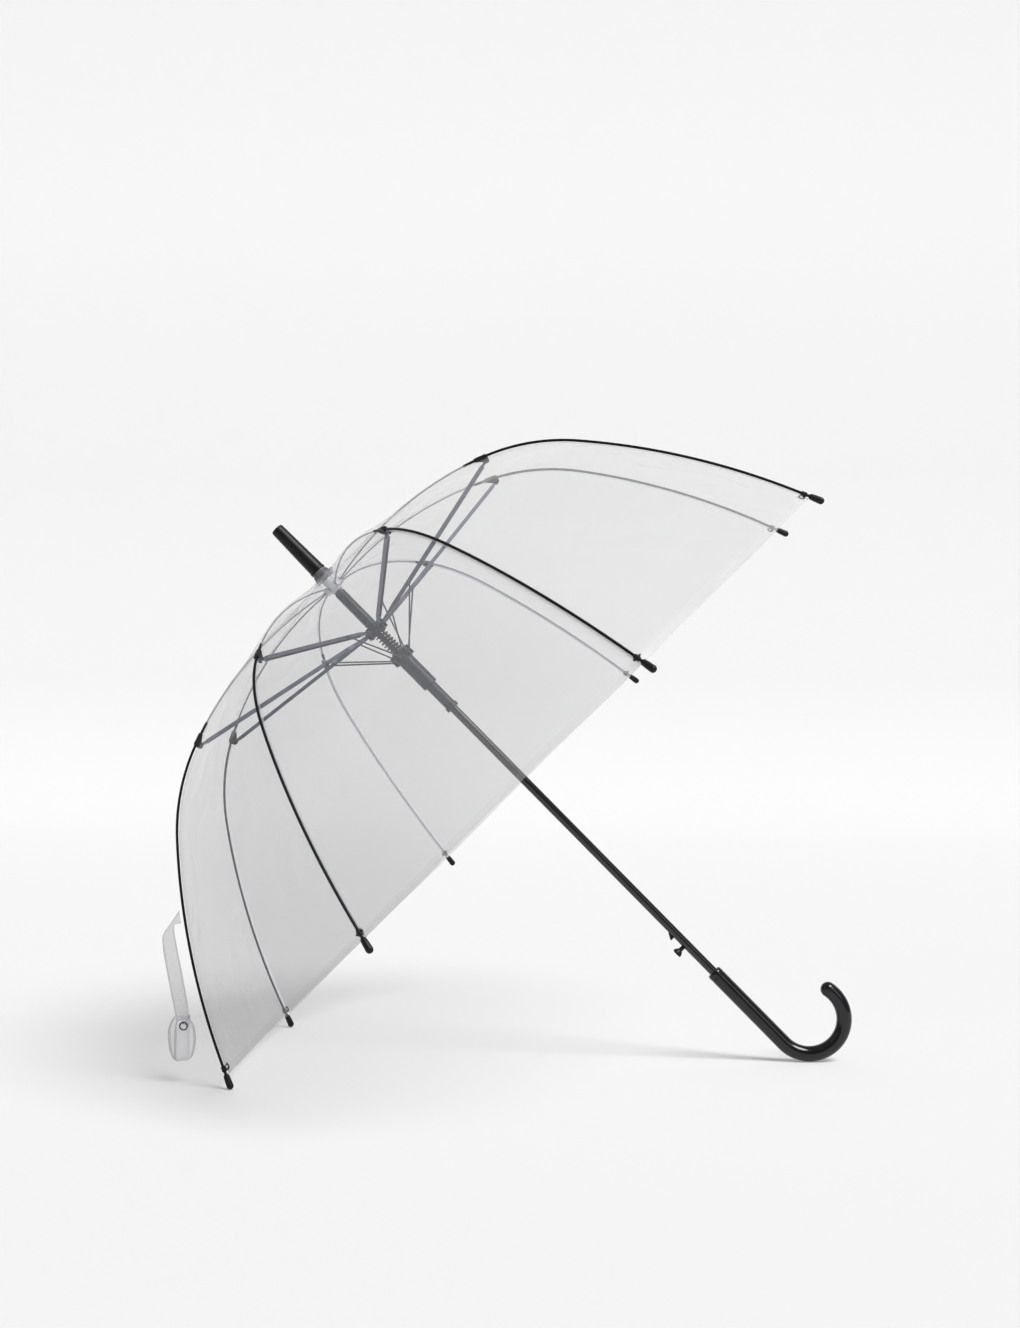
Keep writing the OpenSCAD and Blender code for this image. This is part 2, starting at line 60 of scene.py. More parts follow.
# ---- The umbrella's own axis in the row frame. Shapes are given in millimetres about that axis:
# +Z to the ferrule, z = 0 at the crown, +X to its upper side, and ribs in planes round it.
AXIS_Z = -np.array(JOINTS["runner_slide"]["axis"])
AXIS_X = np.array(JOINTS["button_press"]["axis"])
AXIS_Y = np.cross(AXIS_Z, AXIS_X)
TO_ROW = np.column_stack([AXIS_X, AXIS_Y, AXIS_Z])
NOTCH_Z = -7.0
NOTCH_CENTRE = np.mean([JOINTS[f"rib_fold_{k}"]["pos_m"] for k in RIBS], axis=0)
CROWN = NOTCH_CENTRE - AXIS_Z * NOTCH_Z / 1000


def place(points):
    """Points about the umbrella's axis, in mm, to the row frame, in m."""
    return CROWN + (np.asarray(points, float) / 1000) @ TO_ROW.T


def rib_angle(k):
    return math.radians((k - 0.5) * 45)


def in_rib(points, k):
    """Points in rib k's plane, (out, sideways, up), to points about the umbrella's axis."""
    p = np.asarray(points, float)
    c, s = math.cos(rib_angle(k)), math.sin(rib_angle(k))
    return np.column_stack([p[:, 0] * c - p[:, 1] * s, p[:, 0] * s + p[:, 1] * c, p[:, 2]])


# ---- The rib's curve, as in the CAD source: one bend from notch to elbow, then two
NOTCH = np.array([11.5, NOTCH_Z])
ELBOW = np.array([241.0, -37.0])
ELBOW_SLOPE, TURN_NEAR, TURN_FAR = 23.0, 26.3, 17.6
BEND_NEAR, BEND_FAR = 240.0, 800.0
TIP_R, TIP_LEN = 3.75, 25.0
ROD_R = 1.5


def ahead(slope):
    a = math.radians(slope)
    return np.array([math.cos(a), -math.sin(a)])


def inside(slope):
    a = math.radians(slope)
    return np.array([-math.sin(a), -math.cos(a)])


_chord = ELBOW - NOTCH
_chord_slope = math.degrees(math.atan2(-_chord[1], _chord[0]))
NOTCH_SLOPE = 2 * _chord_slope - ELBOW_SLOPE
BEND_UPPER = float(np.linalg.norm(_chord)) / (2 * math.sin(math.radians((ELBOW_SLOPE - NOTCH_SLOPE) / 2)))
UPPER_CENTRE = NOTCH + BEND_UPPER * inside(NOTCH_SLOPE)
NEAR_CENTRE = ELBOW + BEND_NEAR * inside(ELBOW_SLOPE)
MID_SLOPE = ELBOW_SLOPE + TURN_NEAR
MID = NEAR_CENTRE - BEND_NEAR * inside(MID_SLOPE)
FAR_CENTRE = MID + BEND_FAR * inside(MID_SLOPE)
END_SLOPE = MID_SLOPE + TURN_FAR
RIB_END = FAR_CENTRE - BEND_FAR * inside(END_SLOPE)


def on_rib(slope):
    """A point of the rib's centreline at a slope."""
    if slope < ELBOW_SLOPE:
        return UPPER_CENTRE - BEND_UPPER * inside(slope)
    if slope < MID_SLOPE:
        return NEAR_CENTRE - BEND_NEAR * inside(slope)
    return FAR_CENTRE - BEND_FAR * inside(slope)


# ---- Materials


class Nodes:
    """A material with a Principled shader, and short calls that add nodes to it."""

    def __init__(self, name):
        self.material = bpy.data.materials.new(name)
        self.material.use_nodes = True
        self.tree = self.material.node_tree
        self.shader = self.tree.nodes["Principled BSDF"]
        self.coords = self.tree.nodes.new("ShaderNodeTexCoord").outputs["Object"]

    def set(self, **values):
        for key, value in values.items():
            self.shader.inputs[key.replace("_", " ")].default_value = value
        return self

    def link(self, output, socket):
        self.tree.links.new(output, self.shader.inputs[socket])

    def stretched(self, scale):
        n = self.tree.nodes.new("ShaderNodeMapping")
        n.inputs["Scale"].default_value = scale
        self.tree.links.new(self.coords, n.inputs["Vector"])
        return n.outputs["Vector"]

    def noise(self, scale, detail=4.0, roughness=0.55, stretch=None, distortion=0.0):
        n = self.tree.nodes.new("ShaderNodeTexNoise")
        n.inputs["Scale"].default_value = scale
        n.inputs["Detail"].default_value = detail
        n.inputs["Roughness"].default_value = roughness
        n.inputs["Distortion"].default_value = distortion
        self.tree.links.new(self.stretched(stretch) if stretch else self.coords, n.inputs["Vector"])
        return n.outputs["Fac"]

    def ramp(self, factor, stops):
        n = self.tree.nodes.new("ShaderNodeValToRGB")
        n.color_ramp.elements[0].position = stops[0][0]
        n.color_ramp.elements[-1].position = stops[-1][0]
        for at, _ in stops[1:-1]:
            n.color_ramp.elements.new(at)
        for element, (_, colour) in zip(n.color_ramp.elements, stops):
            element.color = (*colour, 1)
        self.tree.links.new(factor, n.inputs["Fac"])
        return n.outputs["Color"]

    def span(self, factor, low, high):
        n = self.tree.nodes.new("ShaderNodeMapRange")
        n.inputs["From Min"].default_value = 0.3
        n.inputs["From Max"].default_value = 0.7
        n.inputs["To Min"].default_value = low
        n.inputs["To Max"].default_value = high
        self.tree.links.new(factor, n.inputs["Value"])
        return n.outputs["Result"]

    def along(self, way, start, end):
        """How far a point lies along a direction of the object, from 0 to 1."""
        n = self.tree.nodes.new("ShaderNodeVectorMath")
        n.operation = "DOT_PRODUCT"
        n.inputs[1].default_value = way
        self.tree.links.new(self.coords, n.inputs[0])
        r = self.tree.nodes.new("ShaderNodeMapRange")
        r.inputs["From Min"].default_value = start
        r.inputs["From Max"].default_value = end
        self.tree.links.new(n.outputs["Value"], r.inputs["Value"])
        return r.outputs["Result"]

    def mixed(self, a, b, share):
        n = self.tree.nodes.new("ShaderNodeMix")
        n.inputs["Factor"].default_value = share
        self.tree.links.new(a, n.inputs["A"])
        self.tree.links.new(b, n.inputs["B"])
        return n.outputs["Result"]

    def bump(self, height, strength, distance):
        n = self.tree.nodes.new("ShaderNodeBump")
        n.inputs["Strength"].default_value = strength
        n.inputs["Distance"].default_value = distance
        self.tree.links.new(height, n.inputs["Height"])
        self.link(n.outputs["Normal"], "Normal")


def solid_material(name, dark, light, rough, grain, stretch=None, bump=0.15, metallic=0.0, coat=0.0,
                   gloss=0.5):
    """Plastic, paint or metal: two shades over a noise, a worn roughness and a fine bump."""
    m = Nodes(name).set(Metallic=metallic, Coat_Weight=coat, Coat_Roughness=0.08, Specular_IOR_Level=gloss)
    broad = m.noise(grain / 6, 3.0, 0.5)
    fine = m.noise(grain, 5.0, 0.6, stretch)
    m.link(m.ramp(broad, [(0.3, dark), (0.7, light)]), "Base Color")
    m.link(m.span(fine, rough[0], rough[1]), "Roughness")
    m.bump(fine, bump, 0.0002)
    return m.material


SHAFT_BLACK = solid_material("shaft_enamel", (0.002, 0.002, 0.003), (0.005, 0.005, 0.006), (0.06, 0.1), 500,
                             bump=0.02, coat=0.4, gloss=0.5)
BLACK = solid_material("black_moulding", (0.004, 0.004, 0.0045), (0.009, 0.009, 0.01), (0.34, 0.5), 900,
                       gloss=0.25)
HANDLE_BLACK = solid_material("handle_gloss", (0.004, 0.004, 0.005), (0.008, 0.008, 0.01), (0.12, 0.2), 260,
                              bump=0.04, coat=0.15, gloss=0.4)
GREY = solid_material("grey_moulding", (0.07, 0.073, 0.085), (0.12, 0.124, 0.14), (0.38, 0.55), 800)
DARK_GREY = solid_material("runner_moulding", (0.012, 0.015, 0.028), (0.03, 0.035, 0.055), (0.34, 0.5), 800,
                           gloss=0.4)
PALE = solid_material("pale_moulding", (0.5, 0.51, 0.55), (0.66, 0.67, 0.71), (0.3, 0.45), 700)
ROD_BLACK = solid_material("rod_coating", (0.004, 0.004, 0.005), (0.01, 0.01, 0.011), (0.3, 0.42), 700,
                           stretch=(1, 1, 0.2), bump=0.1, gloss=0.15)
WIRE = solid_material("drawn_wire", (0.06, 0.065, 0.085), (0.12, 0.125, 0.15), (0.3, 0.45), 900, metallic=0.7)
RIB_WIRE = solid_material("bright_wire", (0.2, 0.207, 0.24), (0.33, 0.337, 0.38), (0.3, 0.45), 900,
                          metallic=0.3)
ARM_STEEL = solid_material("rolled_channel", (0.07, 0.076, 0.115), (0.13, 0.138, 0.19), (0.34, 0.5), 420,
                           stretch=(1, 1, 3), metallic=0.45)
SPRING_STEEL = solid_material("spring_steel", (0.02, 0.023, 0.035), (0.05, 0.053, 0.075), (0.3, 0.42), 900,
                              metallic=0.6)
CHROME = solid_material("snap_cap", (0.55, 0.56, 0.58), (0.72, 0.73, 0.75), (0.12, 0.22), 900, metallic=0.9)

# The direction along which the film is painted from shade to light, as from light above and to the right, and
# where along it that starts and ends, in m
PAINTED_LIGHT_WAY, PAINTED_LIGHT_FROM, PAINTED_LIGHT_TO = (0.62, 0.0, 0.78), 0.0, 0.47


def film_material(name, alpha, shade, rough=0.22, wrinkle=0.5, painted_light_lean=0.0, blue=0.0):
    """Clear soft film: a pale veil that lets most of what is behind it through, with soft creases.

    Its tone is cloudy, and by the share painted_light_lean it is painted darker on the low side and lighter
    on the high side, as shade and light falling from above and to the right."""
    m = Nodes(name).set(Alpha=alpha, IOR=1.5, Coat_Weight=0.2, Coat_Roughness=0.08)
    cloud = m.noise(5, 3.0, 0.5)
    crease = m.noise(9, 3.0, 0.45, distortion=0.8)
    # Painted shade and light: the tone runs darker to the low side and lighter to the high side, with the
    # cloud noise over it.
    cloud_and_painted_light = m.mixed(cloud, m.along(PAINTED_LIGHT_WAY, PAINTED_LIGHT_FROM, PAINTED_LIGHT_TO), 0.85 if painted_light_lean else 0.0)
    low, high = ((shade * (1 - painted_light_lean), shade * (1 + 0.7 * painted_light_lean)) if painted_light_lean else (shade * 0.97, shade))
    cool = np.array([1 - blue, 1 - 0.8 * blue, 1 + 0.4 * blue])
    m.link(m.ramp(cloud_and_painted_light, [(0.1, tuple(low * np.array([0.985, 0.99, 1.02]) * cool)),
                         (0.9, tuple(high * np.array([0.99, 0.992, 1.01]) * cool))]), "Base Color")
    m.link(m.span(crease, rough - 0.06, rough + 0.08), "Roughness")
    m.bump(crease, wrinkle, 0.003)
    return m.material


# The film is painted darker to the lower left and lighter to the upper right, as shade and light.
FILM = film_material("clear_film", 0.26, 0.47, rough=0.25, wrinkle=0.3, painted_light_lean=0.55)
# The seam's doubled film is less clear than the rest.
WELD = film_material("film_weld", 0.48, 0.85, rough=0.3, wrinkle=0.5, blue=0.04)
SEAM = film_material("film_seam", 0.58, 0.84, rough=0.3, wrinkle=0.5, blue=0.06)
# The hem carries the same painted shade and light as the film.
HEM = film_material("film_hem", 0.31, 0.5, rough=0.25, wrinkle=0.3, painted_light_lean=0.55)
STRAP_FILM = film_material("strap_film", 0.36, 0.62, rough=0.12, wrinkle=0.3)
STRAP_EDGE = film_material("strap_edge", 0.5, 0.58, rough=0.18, wrinkle=0.3)
# The loop is the band's film painted paler, as painted light for the light its curl catches.
STRAP_LOOP_PAINTED_LIGHTER = film_material("strap_loop_painted_lighter", 0.34, 0.85, rough=0.12, wrinkle=0.3)

# ---- Meshes


class Shape:
    """Vertices in mm and faces, gathered part by part, each part with a material's place in the list."""

    def __init__(self):
        self.points, self.faces, self.slots = [], [], []

    def add(self, part, slot=0):
        points, faces = part
        start = len(self.points)
        self.points += [tuple(p) for p in points]
        self.faces += [tuple(i + start for i in f) for f in faces]
        self.slots += [slot] * len(faces) if isinstance(slot, int) else list(slot)


def loft(rings, closed=False):
    """Skin over rings of equally many points. With closed, the last ring joins the first."""
    n = len(rings[0])
    points = [p for ring in rings for p in ring]
    faces = []
    for j in range(len(rings) - (0 if closed else 1)):
        a, b = j * n, (j + 1) % len(rings) * n
        faces += [(a + i, a + (i + 1) % n, b + (i + 1) % n, b + i) for i in range(n)]
    if not closed:
        faces.append(tuple(range(n - 1, -1, -1)))
        faces.append(tuple(range(len(points) - n, len(points))))
    return points, faces


def lathe(profile, sides=40, at=(0, 0, 0), axes=None):
    """Turns a profile of (radius, height) about an axis. One that ends where it starts makes a ring."""
    ax = np.eye(3) if axes is None else np.asarray(axes, float)
    ring = profile[0] == profile[-1]
    use = profile[:-1] if ring else profile
    rings = []
    for r, z in use:
        r = max(r, 0.02)
        turn = [2 * math.pi * i / sides for i in range(sides)]
        rings.append([np.asarray(at) + r * math.cos(t) * ax[0] + r * math.sin(t) * ax[1] + z * ax[2]
                      for t in turn])
    return loft(rings, closed=ring)


def rounded(profile, radius=0.4, steps=3):
    """A profile with its inner corners rounded off."""
    out = [profile[0]]
    for a, b, c in zip(profile, profile[1:], profile[2:]):
        a, b, c = (np.array(v, float) for v in (a, b, c))
        la, lc = np.linalg.norm(a - b), np.linalg.norm(c - b)
        r = min(radius, 0.45 * la, 0.45 * lc)
        if r < 0.02:
            out.append(tuple(b))
            continue
        p, q = b + (a - b) / la * r, b + (c - b) / lc * r
        for i in range(steps + 1):
            t = i / steps
            out.append(tuple((1 - t) ** 2 * p + 2 * t * (1 - t) * b + t * t * q))
    return out + [profile[-1]]


def rod(path, radius, sides=12, normal=(0, 1, 0), flat=1.0, closed=False):
    """A round bar along a path. radius is one number or one for each point, and flat squeezes it sideways."""
    path = np.asarray(path, float)
    radii = np.broadcast_to(radius, (len(path),))
    if closed:
        ahead_of = np.roll(path, -1, 0) - np.roll(path, 1, 0)
    else:
        ahead_of = np.gradient(path, axis=0)
    ahead_of /= np.linalg.norm(ahead_of, axis=1)[:, None]
    side = np.asarray(normal, float)
    rings = []
    for p, t, r in zip(path, ahead_of, radii):
        u = side - (side @ t) * t
        u /= np.linalg.norm(u)
        v = np.cross(t, u)
        rings.append([p + r * (flat * math.cos(a) * u + math.sin(a) * v)
                      for a in (2 * math.pi * i / sides for i in range(sides))])
        side = u
    return loft(rings, closed=closed)


def torus(centre, major, minor, axis, sides=20, around=8):
    axis = np.asarray(axis, float) / np.linalg.norm(axis)
    u = np.cross(axis, (0.3, 0.9, 0.2))
    u /= np.linalg.norm(u)
    v = np.cross(axis, u)
    turn = [2 * math.pi * i / sides for i in range(sides)]
    path = [np.asarray(centre) + major * (math.cos(t) * u + math.sin(t) * v) for t in turn]
    return rod(path, minor, around, normal=axis, closed=True)


def place_piece(name, mesh, body, nodes, angle):
    """Shades a mesh smooth, puts it in the scene, parents it to its body and hides the nodes it stands for.
    """
    mesh.polygons.foreach_set("use_smooth", [True] * len(mesh.polygons))
    mesh.set_sharp_from_angle(angle=math.radians(angle))
    piece = bpy.data.objects.new(name, mesh)
    bpy.context.scene.collection.objects.link(piece)
    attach(piece, body)
    if nodes:
        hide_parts(*nodes)
    return piece


def make(name, shape, materials, body, nodes=(), k=None, angle=35):
    """A mesh object from a shape about the umbrella's axis, or in rib k's plane, that rides on a CAD body."""
    points = in_rib(shape.points, k) if k else shape.points
    mesh = bpy.data.meshes.new(name)
    mesh.from_pydata(place(points).tolist(), [], shape.faces)
    for m in materials:
        mesh.materials.append(m)
    mesh.polygons.foreach_set("material_index", shape.slots)
    mesh.validate()
    bm = bmesh.new()
    bm.from_mesh(mesh)
    bmesh.ops.recalc_face_normals(bm, faces=bm.faces)
    bm.to_mesh(mesh)
    bm.free()
    return place_piece(name, mesh, body, nodes, angle)


# ---- Film. It lies over the wires of the upper ribs, and under the black rods below the elbow.
FILM_OUT, FILM_IN = 1.7, -2.1
SLEEVE_TURN = 4.4
CROWN_FILM_R, CROWN_FILM_Z = 10.4, 4.4
HALF_GORE = math.radians(22.5)
GORE_BULGE = 0.3
HEM_PAST, HEM_RISE, BEAD_CLEAR = 9.0, 1.5, 1.3
# The film goes from over the wire to under the rod within this many degrees of the rib's slope.
CROSSING = 3.0
CROWN_STEPS = 12


def film_line():
    """The film's line in a rib's plane as arc lengths with radius, height and slope."""
    points, slopes = [], []
    radius = BEND_UPPER + FILM_OUT
    start = np.array([CROWN_FILM_R, CROWN_FILM_Z])
    from_centre = start - UPPER_CENTRE
    touch = math.degrees(math.acos(min(1, radius / np.linalg.norm(from_centre)))
                         - math.atan2(-from_centre[0], from_centre[1]))
    first = UPPER_CENTRE - radius * inside(touch)
    for t in np.linspace(0, 1, CROWN_STEPS)[:-1]:
        points.append(start + t * (first - start))
        slopes.append(touch)
    for s in list(np.arange(touch, END_SLOPE, 0.25)) + [END_SLOPE]:
        t = np.clip((s - (ELBOW_SLOPE - SLEEVE_TURN)) / CROSSING, 0, 1)
        t = t * t * (3 - 2 * t)
        offset = FILM_OUT + (FILM_IN - FILM_OUT) * t
        points.append(on_rib(s) - offset * inside(s))
        slopes.append(s)
    # Past the rod's end it runs on inside the moulded end's bead, where its corners hang.
    for past in np.linspace(0, HEM_PAST, 6)[1:]:
        offset = FILM_IN - BEAD_CLEAR * past / HEM_PAST
        points.append(RIB_END + past * ahead(END_SLOPE) - offset * inside(END_SLOPE))
        slopes.append(END_SLOPE)
    points = np.array(points)
    arc = np.concatenate([[0], np.cumsum(np.linalg.norm(np.diff(points, axis=0), axis=1))])
    return arc, points, np.array(slopes)


ARC, LINE, SLOPES = film_line()


def line_at(arc):
    return (np.interp(arc, ARC, LINE[:, 0]), np.interp(arc, ARC, LINE[:, 1]), np.interp(arc, ARC, SLOPES))


ELBOW_ARC = float(np.interp(ELBOW_SLOPE, SLOPES[CROWN_STEPS:], ARC[CROWN_STEPS:]))


def gore_share(turn):
    return GORE_BULGE + (1 - GORE_BULGE) * math.cos(HALF_GORE) / math.cos(HALF_GORE - abs(turn))


def cut_arc(turn):
    """Where the film is split at this angle from the rib: nearest the elbow's hinge line."""
    arcs = np.linspace(ELBOW_ARC - 10, ELBOW_ARC + 60, 281)
    r, z, _ = line_at(arcs)
    away = (r * gore_share(turn) * math.cos(turn) - ELBOW[0]) ** 2 + (z - ELBOW[1]) ** 2
    return float(arcs[np.argmin(away)]) if abs(turn) > 0.01 else ELBOW_ARC


# The folds, as (waves round the crown, waves in 3 mm of length, phase, height in mm)
WAVES = [(8, 0.031, 0.4, 0.9), (16, 0.022, 1.9, 0.55), (24, 0.041, 3.1, 0.35), (40, 0.013, 5.0, 0.3),
         (5, 0.055, 2.2, 0.45), (11, 0.083, 0.8, 0.25)]
CROWN_FOLD_ARC, CROWN_FOLD_SPREAD, HEM_FOLD_SPREAD = 95, 85, 60
SAG, SAG_ARC, SAG_SPREAD = 7.0, 120.0, 75.0


def slack(turn_round, arc):
    """How far, in mm, the film stands off its drawn surface: soft folds that fade out at the ribs.

    Above the elbows the pull between the arched ribs also draws it in."""
    between = math.cos(4 * turn_round) ** 2
    drawn_in = SAG * math.exp(-((arc - SAG_ARC) / SAG_SPREAD) ** 2)
    near_crown = math.exp(-((arc - CROWN_FOLD_ARC) / CROWN_FOLD_SPREAD) ** 2)
    near_hem = math.exp(-((ARC[-1] - arc) / HEM_FOLD_SPREAD) ** 2)
    wave = sum(a * math.sin(n * turn_round + 2 * math.pi * f * arc / 3 + p) for n, f, p, a in WAVES)
    return between * (wave * (0.35 + 1.3 * near_crown + 0.8 * near_hem) - drawn_in)


SEAM_HALF, SEAM_TURN_MOST = 2.4, 0.12
SIDE_COLUMNS = 12
UPPER_ROWS, LOWER_ROWS, HEM_ROW, HEM_FROM = 34, 46, 0.984, 0.97


def columns(radius):
    """Angles of the film's columns from its rib at a radius: the weld's three, then the rest."""
    weld = min(SEAM_HALF / radius, SEAM_TURN_MOST)
    outer = [weld + (HALF_GORE - weld) * i / SIDE_COLUMNS for i in range(1, SIDE_COLUMNS + 1)]
    return [-a for a in reversed(outer)] + [-weld, 0, weld] + outer


def film_point(k, turn, arc):
    r, z, slope = line_at(arc)
    around = rib_angle(k) + turn
    lift = slack(around, arc)
    n = -inside(float(slope))
    r = r * gore_share(turn) + lift * n[0]
    z = z + lift * n[1]
    return (r * math.cos(around), r * math.sin(around), z)


def film_sheet(k, part):
    """One rib's share of the film, half way to each neighbour, above or below the elbow."""
    if part == "upper":
        shares = [i / UPPER_ROWS for i in range(UPPER_ROWS + 1)]
    else:
        shares = [i / LOWER_ROWS for i in range(LOWER_ROWS)] + [HEM_ROW, 1]
    cuts = [cut_arc(t) for t in columns(ELBOW[0])]
    points = []
    for share in shares:
        base = ELBOW_ARC * share if part == "upper" else ELBOW_ARC + (ARC[-1] - ELBOW_ARC) * share
        turns = columns(float(line_at(base)[0]))
        for turn, cut in zip(turns, cuts):
            hem_rise = HEM_RISE * math.cos(4 * (rib_angle(k) + turn)) ** 2
            end = ARC[-1] - hem_rise
            arc = cut * share if part == "upper" else cut + (end - cut) * share
            points.append(film_point(k, turn, arc))
    n = len(cuts)
    faces, slots = [], []
    for j in range(len(shares) - 1):
        for i in range(n - 1):
            a = j * n + i
            faces.append((a, a + 1, a + n + 1, a + n))
            weld = SIDE_COLUMNS <= i < SIDE_COLUMNS + 2
            hem = part == "lower" and shares[j] >= HEM_FROM
            slots.append(1 if weld else 2 if hem else 0)
    shape = Shape()
    shape.add((points, faces), slots)
    return shape


for k in RIBS:
    for part in ("upper", "lower"):
        body = f"{part}_rib_{k}"
        weld = WELD if part == "upper" else SEAM
        piece = make(f"film_{part}_{k}", film_sheet(k, part), [FILM, weld, HEM], body,
                     angle=60)
        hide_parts(f"canopy_{k}")
        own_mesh(piece)

# ---- Lower ribs with their moulded ends
TIP_PROFILE = [(0, -0.6), (1.9, -0.6), (2.5, 0.3), (2.6, 2.2), (2.3, 3.0), (2.7, 3.8), (2.6, 5.0), (1.7, 5.9),
               (1.55, 7.2), (1.7, 8.5), (2.5, 8.9), (3.1, 10.2), (3.35, 12.0), (3.1, 12.5), (3.45, 13.0),
               (3.6, 17.5), (3.75, 21.0)]
TIP_PROFILE += [(TIP_R * math.cos(a), TIP_LEN - TIP_R + TIP_R * math.sin(a))
                for a in np.linspace(0.1, 1.56, 9)]
LUG_RADII = [1.3, 1.25, 1.2, 1.15, 1.1, 1.0, 0.9, 0.8, 0.6]


def rib_frame(slope):
    """Axes of a rod's end in its rib's plane: outward, sideways and ahead."""
    t, n = ahead(slope), -inside(slope)
    return np.array([[n[0], 0, n[1]], [0, 1, 0], [t[0], 0, t[1]]])


def lower_rib_shape():
    shape = Shape()
    slopes = list(np.arange(ELBOW_SLOPE, END_SLOPE, 0.8)) + [END_SLOPE]
    path = [on_rib(s) for s in slopes]
    shape.add(rod([(p[0], 0, p[1]) for p in path], ROD_R, 14))
    shape.add(rod([(ELBOW[0], y, ELBOW[1]) for y in (-1.6, -1.3, 1.3, 1.6)], [1.7, 2.1, 2.1, 1.7], 20,
                  normal=(1, 0, 0)), 1)
    at = (RIB_END[0], 0, RIB_END[1])
    ax = rib_frame(END_SLOPE)
    shape.add(lathe(rounded(TIP_PROFILE, 0.3), 28, at, ax), 1)
    base = np.array(at)
    # The film's corner hangs on a wire eye and a moulded hook on the inner side of the bead.
    shape.add(torus(base + ax[2] * 1.4 - ax[0] * 3.6, 2.1, 0.55, ax[1], 18, 8), 1)
    hook = [base + ax[2] * 4.4 - ax[0] * 2.0, base + ax[2] * 4.6 - ax[0] * 4.2,
            base + ax[2] * 2.4 - ax[0] * 5.6, base - ax[2] * 0.6 - ax[0] * 5.4,
            base - ax[2] * 2.2 - ax[0] * 4.6]
    shape.add(rod(smooth(hook), 0.75, 8), 1)
    for side in (-1, 1):
        lug = [base + ax[2] * 2.6 + ax[1] * side * 1.6, base + ax[2] * 2.7 + ax[1] * side * 3.6,
               base + ax[2] * 2.0 + ax[1] * side * 4.6]
        shape.add(rod(smooth(lug), LUG_RADII, 10, normal=tuple(ax[0])), 1)
    return shape


def smooth(points, count=9):
    """A soft curve through a few points."""
    p = np.asarray(points, float)
    t = np.linspace(0, len(p) - 1, count)
    out = []
    for u in t:
        i = min(int(u), len(p) - 2)
        f = u - i
        a, b, c, d = p[max(i - 1, 0)], p[i], p[i + 1], p[min(i + 2, len(p) - 1)]
        squared = (2 * a - 5 * b + 4 * c - d) * f ** 2
        cubed = (3 * b - a - 3 * c + d) * f ** 3
        out.append(0.5 * (2 * b + (c - a) * f + squared + cubed))
    return out


for k in RIBS:
    body = f"lower_rib_{k}"
    make(f"rod_{k}", lower_rib_shape(), [ROD_BLACK, BLACK], body, [body], k)

# ---- CAD parts that keep their own shape, with rounded edges and a finish


def finish_node(node, material, width=0.0002):
    """Gives a CAD node its material and, unless width is 0, rounds its edges by that many metres."""
    o = NODES[node]
    o.data.materials.clear()
    o.data.materials.append(material)
    if width:
        bevel = o.modifiers.new("edge", "BEVEL")
        bevel.width = width
        bevel.segments = 2
        bevel.limit_method = "ANGLE"
        bevel.angle_limit = math.radians(40)
        bevel.harden_normals = False


finish_node("shaft", SHAFT_BLACK, 0)
finish_node("top_notch", PALE)
finish_node("upper_runner", DARK_GREY)
finish_node("lower_runner", DARK_GREY)
finish_node("runner_catch", BLACK)
for k in RIBS:
    finish_node(f"upper_rib_{k}", RIB_WIRE, 0)
    finish_node(f"connector_{k}", BLACK)
    finish_node(f"arm_{k}", ARM_STEEL)
    finish_node(f"strut_{k}", WIRE, 0)

# ---- Ferrule, crown cap and handle
FERRULE_TIP = 87.0
ferrule = Shape()
FERRULE_PROFILE = [(5.02, 17.7), (9.4, 17.7), (9.6, 18.4), (9.5, 20.6), (9.15, 21.2), (7.7, 82.0),
                   (7.5, FERRULE_TIP - 1.2), (6.4, FERRULE_TIP), (4.4, FERRULE_TIP - 0.4),
                   (0, FERRULE_TIP - 0.9)]
ferrule.add(lathe(rounded(FERRULE_PROFILE, 0.6), 48))
make("ferrule_cap", ferrule, [BLACK], "frame", ["ferrule"])

cap = Shape()
CAP_PROFILE = [(5.02, 6.0), (11.8, 6.0), (12.0, 6.4), (12.0, 7.4), (11.5, 7.8), (10.9, 10.4),
               (9.9, 14.9), (9.1, 15.2), (9.0, 17.6), (5.02, 17.7)]
cap.add(lathe(rounded(CAP_PROFILE, 0.35), 48))
lug = [(8.2, 0, 9.4), (10.8, 0, 9.6), (12.6, 0, 9.2), (13.3, 0, 8.2)]
cap.add(rod(smooth(lug), [2.6, 2.6, 2.5, 2.5, 2.4, 2.3, 2.1, 1.8, 1.3], 14, normal=(0, 1, 0), flat=0.85))
make("crown_collar", cap, [GREY], "frame", ["crown_cap"])

BUTTON_Z = -578.0
button = Shape()
# Its stem is as thin as the CAD's for its whole travel, so that it clears the shaft's hole.
BUTTON_PROFILE = [(0, 3.0), (2.4, 3.0), (2.4, 9.2), (3.6, 10.4), (5.0, 12.8), (5.3, 13.4), (5.3, 15.0),
                  (4.7, 15.8), (0, 15.9)]
BUTTON_AXES = ((0, 0, 1), (0, 1, 0), (-1, 0, 0))
button.add(lathe(rounded(BUTTON_PROFILE, 0.35), 32, at=(0, 0, BUTTON_Z), axes=BUTTON_AXES))
make("push_button", button, [BLACK], "release_button", ["release_button"])

HANDLE_TOP, GRIP_LEN, GRIP_R, HOOK_R, HOOK_TURN = 621.0, 112.0, 8.65, 39.3, 192.0
# The grip's rounded upper end and the groove below it, as (distance down, radius)
COLLAR = [(0, 6.4), (0.25, 7.3), (0.9, 8.2), (2.0, 8.6), (4.0, GRIP_R), (6.6, GRIP_R),
          (7.0, GRIP_R - 0.35), (7.6, GRIP_R - 0.35), (8.0, GRIP_R)]
hook_mid = np.array([HOOK_R, 0, -(HANDLE_TOP + GRIP_LEN)])


